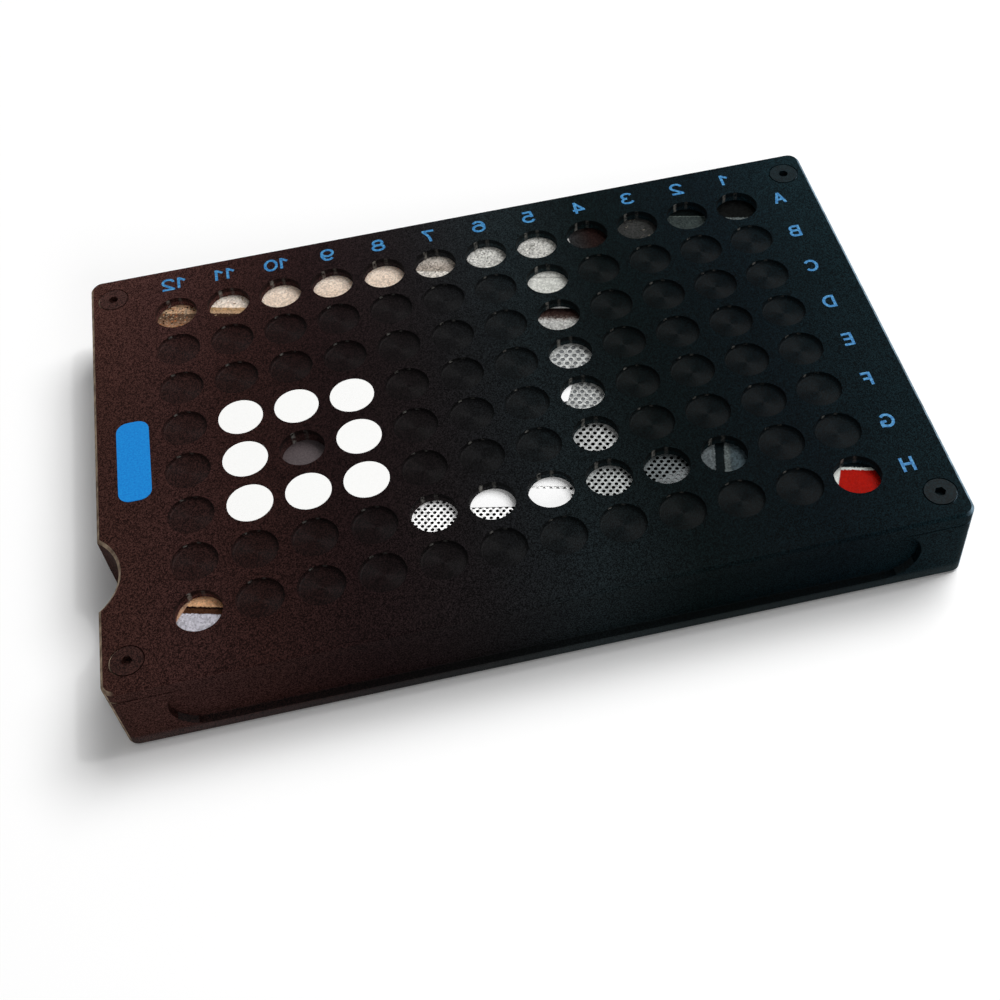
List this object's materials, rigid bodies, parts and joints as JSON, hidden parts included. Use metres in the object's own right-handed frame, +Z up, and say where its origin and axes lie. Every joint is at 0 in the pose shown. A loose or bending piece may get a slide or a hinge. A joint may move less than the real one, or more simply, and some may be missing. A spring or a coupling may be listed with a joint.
{
  "type": "well plate",
  "caption": "Flat black plate in microplate format for testing a plate reader: a screwed cover over a block, with blind wells, glass filters, perforated screens, white discs and a lit well.",
  "frame": {"origin": "centre of the footprint at the underside", "axes": "+X along the length from column 12 to column 1, +Y across towards row A, +Z up"},
  "size_m": [0.1278, 0.0854, 0.0143],
  "materials": {
    "anodised_black": "matt black anodised",
    "black_steel": "black oxide",
    "filter_glass": "metal-coated neutral filter glass",
    "red_glass": "coloured filter glass",
    "screen_metal": "perforated, satin",
    "white_plastic": "matt white",
    "opal_plastic": "grey opal",
    "lamp_package": "clear over phosphor",
    "circuit_board": "solder resist",
    "chip_plastic": "moulded",
    "bright_steel": "plated"
  },
  "bodies": {
    "root": {"base_block": "anodised_black", "cover_plate": "anodised_black", "cover_screws": "black_steel", "emitter_diffuser": "opal_plastic", "emitter_led": "lamp_package", "circuit_board": "circuit_board", "board_parts": "chip_plastic", "board_screws": "bright_steel", "coin_cell": "bright_steel", "cell_clip": "bright_steel", "bottom_hatch": "anodised_black", "hatch_screws": "black_steel", "filter_a1": "filter_glass", "filter_a2": "filter_glass", "filter_a3": "filter_glass", "filter_a4": "filter_glass", "filter_a5": "filter_glass", "filter_a6": "filter_glass", "filter_a7": "filter_glass", "filter_a8": "filter_glass", "filter_a9": "filter_glass", "filter_a10": "filter_glass", "filter_a11": "filter_glass", "filter_a12": "filter_glass", "filter_b5": "filter_glass", "filter_c5": "filter_glass", "filter_g3": "filter_glass", "filter_h1": "red_glass", "filter_h12": "filter_glass", "screen_d5": "screen_metal", "screen_e5": "screen_metal", "screen_f5": "screen_metal", "screen_g5": "screen_metal", "screen_g4": "screen_metal", "screen_g6": "screen_metal", "screen_g7": "screen_metal", "screen_g8": "screen_metal", "white_disc_d9": "white_plastic", "white_disc_d10": "white_plastic", "white_disc_d11": "white_plastic", "white_disc_e9": "white_plastic", "white_disc_e11": "white_plastic", "white_disc_f9": "white_plastic", "white_disc_f10": "white_plastic", "white_disc_f11": "white_plastic"}
  },
  "joints": []
}
